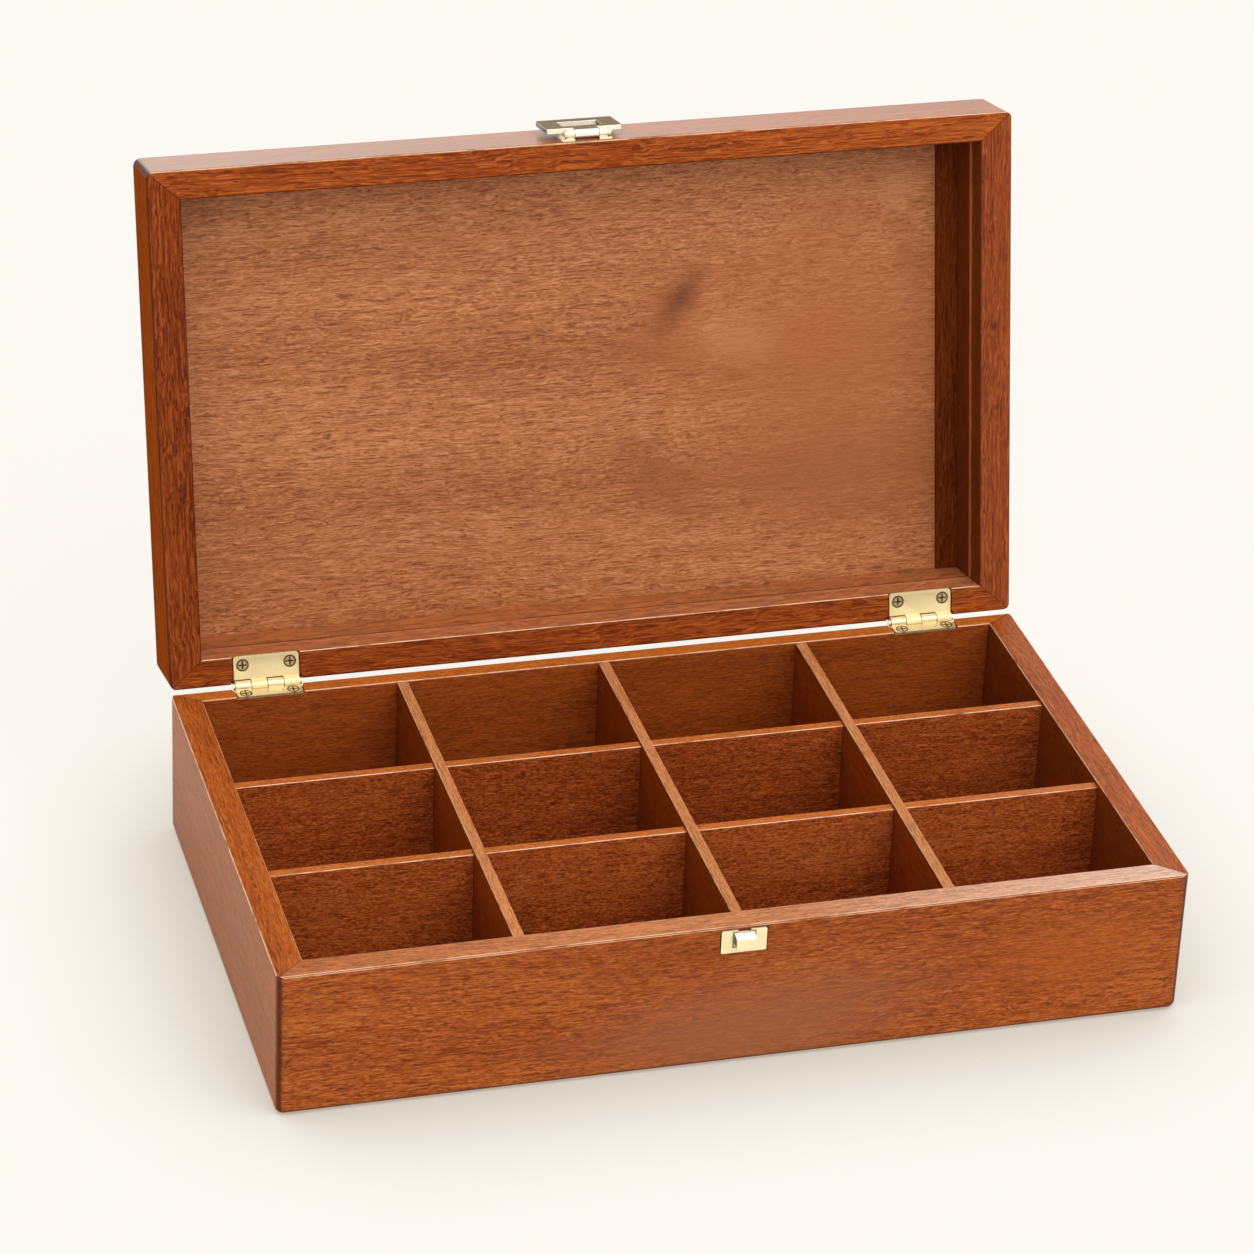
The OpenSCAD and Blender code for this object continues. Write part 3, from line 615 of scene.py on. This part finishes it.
# colours of the painted shade in hollows and of the painted shaded sides, and the finishes of the
# brass
CREVICE_SHADE = (0.060, 0.032, 0.010)
SHADE = (0.120, 0.055, 0.0140)
GOLD =dict(tint=(0.98, 0.83, 0.52), rough=0.22, metallic=0.9)
PALE = dict(tint=(1.00, 0.84, 0.50), rough=0.25, metallic=0.5)
WHITE = dict(tint=(0.94, 0.84, 0.62), rough=0.20, metallic=0.8)
# painted light: a lighter, mostly diffuse copy of the hinge brass for the lid leaves, so that they
# look lit
LIT_BRASS = dict(tint=(1.00, 0.82, 0.43), rough=0.32, metallic=0.15)
DULL = dict(tint=(0.88, 0.72, 0.42), rough=0.28, metallic=0.6)
# painted shade: a dark copy of the brass for the hasp, standing in for the dark that it mirrors
SHADED_GREY = dict(tint=(0.24, 0.200, 0.145), rough=0.22, metallic=1.0)
OLD = dict(tint=(0.74, 0.54, 0.25), rough=0.30, metallic=0.5)
LID_RING = leaf_shade(LID_SCREW_Y, LID_LEAF_Y)
BASE_RING = leaf_shade(BASE_SCREW_Y, BASE_LEAF_Y)
# node, width of its bevels, finish, and what else its brass has
BRASS_PIECES = (
    ("hinge_left_base_leaf", 0.00015, DULL, dict(painted_shade=BASE_RING)),
    ("hinge_right_base_leaf", 0.00015, DULL, dict(painted_shade=BASE_RING)),
    ("hinge_left_lid_leaf", 0.00015, LIT_BRASS, dict(painted_shade=LID_RING, on_lid=True)),
    ("hinge_right_lid_leaf", 0.00015, LIT_BRASS, dict(painted_shade=LID_RING, on_lid=True)),
    ("hinge_left_pin", 0.00015, GOLD, {}), ("hinge_right_pin", 0.00015, GOLD, {}),
    ("base_hinge_screws", 0.0001, OLD, dict(painted_shade=BASE_RING)),
    ("lid_hinge_screws", 0.0001, OLD, dict(painted_shade=LID_RING, on_lid=True)),
    # the catch block's left side gets painted shade and its top a painted highlight
    ("catch_plate", 0.00015, PALE, dict(painted_shade=round_block, edge_glint=0.8, faces=(
        ("X", -1, SHADE, 0.0), ("Z", 1, (0.98, 0.95, 0.88), 0.2)))),
    ("latch_plate", 0.00012, WHITE, dict(on_lid=True)),
    ("latch_nails", 0.0001, WHITE, dict(on_lid=True)),
    ("latch_pin", 0.0001, WHITE, dict(on_lid=True)),
    # the hasp's faces that look down on the closed box get a painted highlight, and those that look
    # left painted shade
    ("hasp", 0.0002, SHADED_GREY, dict(on_lid=True, edge_glint=0.95, graze=(0.62, 0.57, 0.45), faces=(
        ("Z", -1, (0.98, 0.92, 0.78), 0.2), ("X", -1, SHADE, 0.0)))))
for i, (n, width, finish, more) in enumerate(BRASS_PIECES):
    o = soften(n, width)
    o.data.materials.clear()
    o.data.materials.append(brass("brass_" + n, seed=(0.37 * i, 0.11 * i, 0.73 * i), **finish, **more))


# ---------------------------------------------------------------- floor, light, camera
CREAM = (0.975, 0.945, 0.886, 1)
FLOOR_PAINT = (0.90, 0.875, 0.83, 1)
FLOOR_GLOW = 0.89
# how far the box's painted shadow reaches over the floor, and the way to the light that the box shuts
# out
SHADE_REACH, TO_LIGHT = 0.085, (0.68, 0.46, 0.57)
# openness at which the painted shadow is deepest and gone, and the glow left at each
FLOOR_SHADE = (0.25, 0.91, 0.50, 1.0)
# the painted shadow deepens more in green and blue, so it looks warm
SHADE_POWERS = (1.0, 1.22, 1.45)
FILL_COLOR, FILL = (1.0, 0.985, 0.96, 1), 0.66
# the photo's camera: focal length in mm, place, and its directions
LENS = 140.45
CAMERA_PLACE = (-0.4350876, -1.4147786, 0.9368491)
CAMERA_RIGHT = (0.9644123192, -0.2614056535, 0.0396983980)
CAMERA_UP = (0.0933753463, 0.4771957832, 0.8738221954)
CAMERA_BACK = (-0.2473659702, -0.8390180384, 0.4846223355)


def eye_rays(t):
    """1 for what the camera, a gloss or a clear piece sees, 0 for light that falls on things."""
    path = t.add("ShaderNodeLightPath")
    seen = t.math("MAXIMUM", path.outputs["Is Camera Ray"], path.outputs["Is Glossy Ray"])
    return t.math("MAXIMUM", seen, path.outputs["Is Transmission Ray"])


def floor():
    """A pale floor. What the eye sees of it glows a little, so that its shadows stay faint,
    but it glows less where the box shuts out the light that falls from behind on the right, which
    paints a shadow there."""
    bpy.ops.mesh.primitive_plane_add(size=16, location=(0, 0, -0.0002))
    o = bpy.context.object
    o.name = "floor"
    t = Tree("floor_white")
    plain = t.add("ShaderNodeBsdfDiffuse")
    plain.inputs["Color"].default_value = FLOOR_PAINT
    near = t.add("ShaderNodeAmbientOcclusion", samples=12)
    near.inputs["Distance"].default_value = SHADE_REACH
    near.inputs["Normal"].default_value = TO_LIGHT
    light = t.span(near.outputs["AO"], *FLOOR_SHADE)
    comb = t.add("ShaderNodeCombineXYZ")
    for i, power in enumerate(SHADE_POWERS):
        t.put(comb.inputs[i], t.math("MULTIPLY", t.math("POWER", light, power), CREAM[i]))
    glow = t.add("ShaderNodeEmission")
    t.put(glow.inputs["Color"], comb.outputs[0])
    mix = t.add("ShaderNodeMixShader")
    t.put(mix.inputs[0], t.math("MULTIPLY", eye_rays(t), FLOOR_GLOW))
    t.put(mix.inputs[1], plain.outputs[0])
    t.put(mix.inputs[2], glow.outputs[0])
    o.data.materials.append(t.finish(mix))


def studio():
    """A cream backdrop all round, which lights the box less than it shows."""
    world = bpy.data.worlds.new("studio")
    bpy.context.scene.world = world
    world.use_nodes = True
    t = Tree.of(world.node_tree)
    seen = t.add("ShaderNodeBackground")
    seen.inputs["Color"].default_value = CREAM
    seen.inputs["Strength"].default_value = 1.0
    fill = t.add("ShaderNodeBackground")
    fill.inputs["Color"].default_value = FILL_COLOR
    fill.inputs["Strength"].default_value = FILL
    mix = t.add("ShaderNodeMixShader")
    t.put(mix.inputs[0], eye_rays(t))
    t.put(mix.inputs[1], fill.outputs[0])
    t.put(mix.inputs[2], seen.outputs[0])
    out = t.add("ShaderNodeOutputWorld")
    t.put(out.inputs[0], mix.outputs[0])


def sun(name, direction, strength, angle, color):
    """Light along that direction, from a disc so many degrees wide."""
    data = bpy.data.lights.new(name, "SUN")
    data.energy = strength
    data.angle = math.radians(angle)
    data.color = color
    o = bpy.data.objects.new(name, data)
    bpy.context.scene.collection.objects.link(o)
    o.rotation_euler = Vector(direction).to_track_quat("-Z", "Y").to_euler()


def camera():
    """Sees the box from where the photo was taken."""
    data = bpy.data.cameras.new("camera")
    data.sensor_width = 36
    data.lens = LENS
    data.clip_start = 0.05
    o = bpy.data.objects.new("camera", data)
    bpy.context.scene.collection.objects.link(o)
    rows = zip(CAMERA_RIGHT, CAMERA_UP, CAMERA_BACK, CAMERA_PLACE)
    o.matrix_world = Matrix((*rows, (0, 0, 0, 1)))
    bpy.context.scene.camera = o


floor()
studio()
sun("key", (-0.22, 0.58, -0.78), 1.50, 60, (1.0, 0.99, 0.97))
sun("back", (0.10, -0.45, -0.89), 0.50, 120, (1.0, 0.99, 0.98))
camera()
bpy.context.scene.view_settings.view_transform = "Standard"
